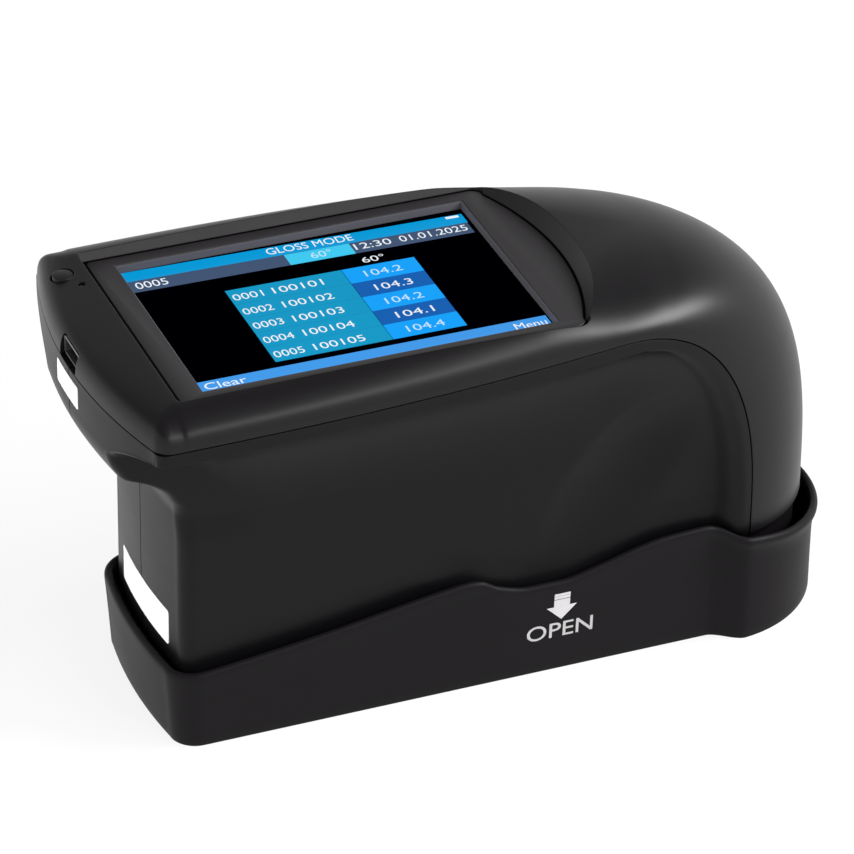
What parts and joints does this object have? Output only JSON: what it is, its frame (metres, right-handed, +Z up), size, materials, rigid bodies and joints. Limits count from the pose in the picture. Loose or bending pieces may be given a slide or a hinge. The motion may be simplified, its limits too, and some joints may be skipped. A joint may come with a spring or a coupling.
{
  "type": "gloss meter",
  "caption": "Handheld gloss meter with a wide display head over a narrow grip and a domed spine, standing in a wavy-rimmed calibration base.",
  "frame": {"origin": "middle of the object's footprint, on the table under the calibration base", "axes": "+X from the display head's end face to the round end under the dome, +Y to the far side that has the measuring key, +Z up"},
  "size_m": [0.1625, 0.075, 0.0888],
  "materials": {
    "shell": "fine satin moulding",
    "housing": "fine satin moulding",
    "base": "fine satin moulding",
    "plate": "matte",
    "screen": "clear gloss over black",
    "module_metal": "stamped",
    "board": "solder mask",
    "battery_wrap": "shrink wrap",
    "inner_plastic": "matte",
    "optics_black": "dead matte",
    "black_glass": "polished",
    "lens_glass": "polished",
    "emitter": "moulded",
    "steel": "plated",
    "key": "satin",
    "lamp": "clear",
    "switch_metal": "stamped",
    "socket_metal": "stamped"
  },
  "bodies": {
    "base": {"base_tray": "base", "tile_holder": "inner_plastic", "calibration_tile": "black_glass", "tile_screw_1": "steel", "tile_screw_2": "steel"},
    "meter": {"top_cover": "shell", "near_housing": "housing", "far_housing": "housing", "display_plate": "plate", "touch_panel": "screen", "lcd_module": "module_metal", "main_board": "board", "battery": "battery_wrap", "chassis": "inner_plastic", "optical_block": "optics_black", "bottom_plate": "inner_plastic", "source_lens": "lens_glass", "receiver_lens": "lens_glass", "light_source": "emitter", "light_detector": "emitter", "bottom_screw_1": "steel", "bottom_screw_2": "steel", "bottom_screw_3": "steel", "bottom_screw_4": "steel", "status_lamp": "lamp", "power_switch": "switch_metal", "measure_switch": "switch_metal", "usb_socket": "socket_metal"},
    "power_key": {"power_button": "key"},
    "measure_key": {"measure_button": "key"}
  },
  "joints": [
    {"name": "meter_lift", "type": "slide", "parent": "base", "child": "meter", "axis": [0, 0, 1], "range_m": [0, 0.04]},
    {"name": "power_press", "type": "slide", "parent": "meter", "child": "power_key", "axis": [0, 0, -1], "range_m": [0, 0.0005], "stiffness_N_per_m": 1200},
    {"name": "measure_press", "type": "slide", "parent": "meter", "child": "measure_key", "axis": [0, -1, 0], "range_m": [0, 0.0005], "stiffness_N_per_m": 1500}
  ]
}
